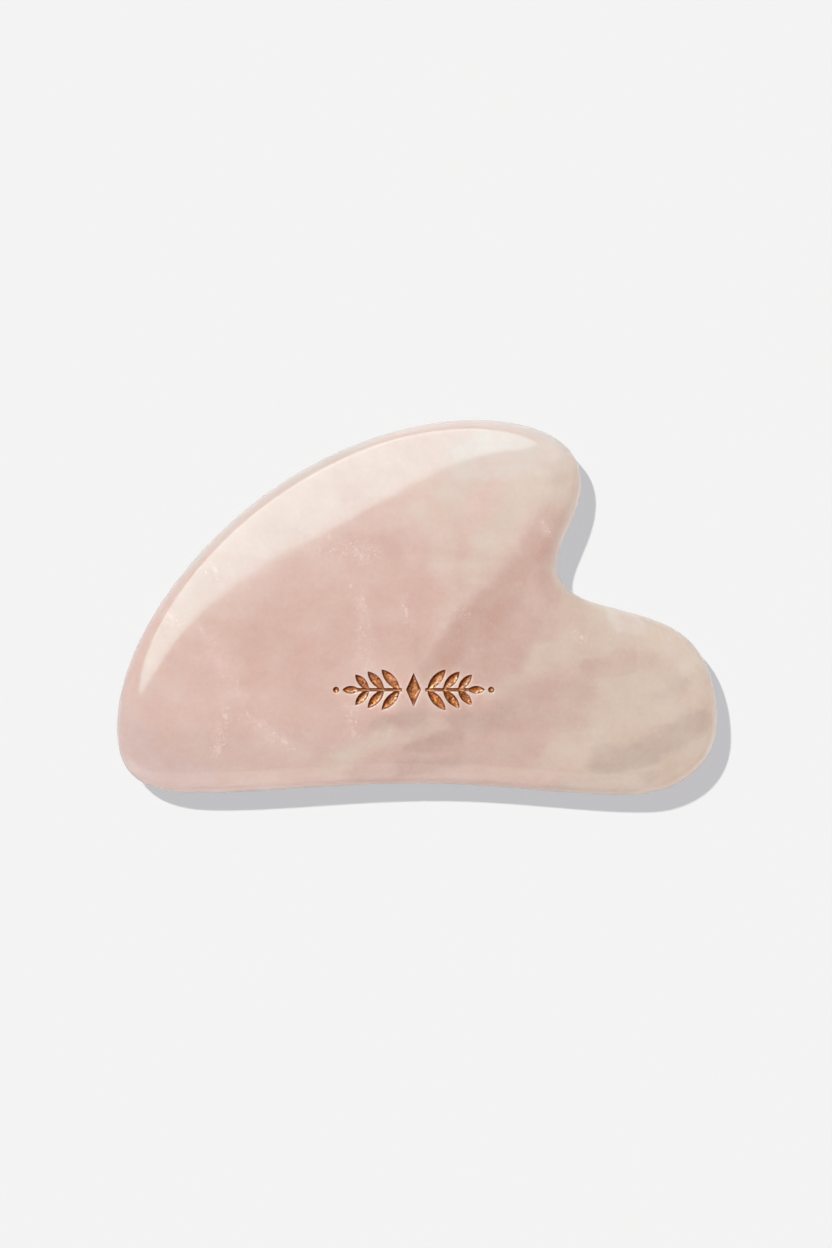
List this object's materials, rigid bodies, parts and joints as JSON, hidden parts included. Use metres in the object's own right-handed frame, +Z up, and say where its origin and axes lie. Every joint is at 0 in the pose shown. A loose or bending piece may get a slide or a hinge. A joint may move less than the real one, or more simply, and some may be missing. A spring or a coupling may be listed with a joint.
{
  "type": "gua sha scraper",
  "caption": "Flat heart-shaped rose quartz massage stone with rounded bevelled edges, a jaw notch and an engraved, copper-painted leaf ornament.",
  "frame": {"origin": "middle of the outline's bounding box, on the resting face", "axes": "+X from the tail to the lower lobe, +Y from the long working edge to the crown, +Z up out of the engraved front face"},
  "size_m": [0.088, 0.055, 0.007],
  "materials": {
    "rose_quartz": "polished",
    "copper_paint": "satin"
  },
  "bodies": {
    "root": {"stone_body": "rose_quartz", "paint_left_bead": "copper_paint", "paint_left_sprig": "copper_paint", "paint_centre_lozenge": "copper_paint", "paint_right_sprig": "copper_paint", "paint_right_bead": "copper_paint"}
  },
  "joints": []
}
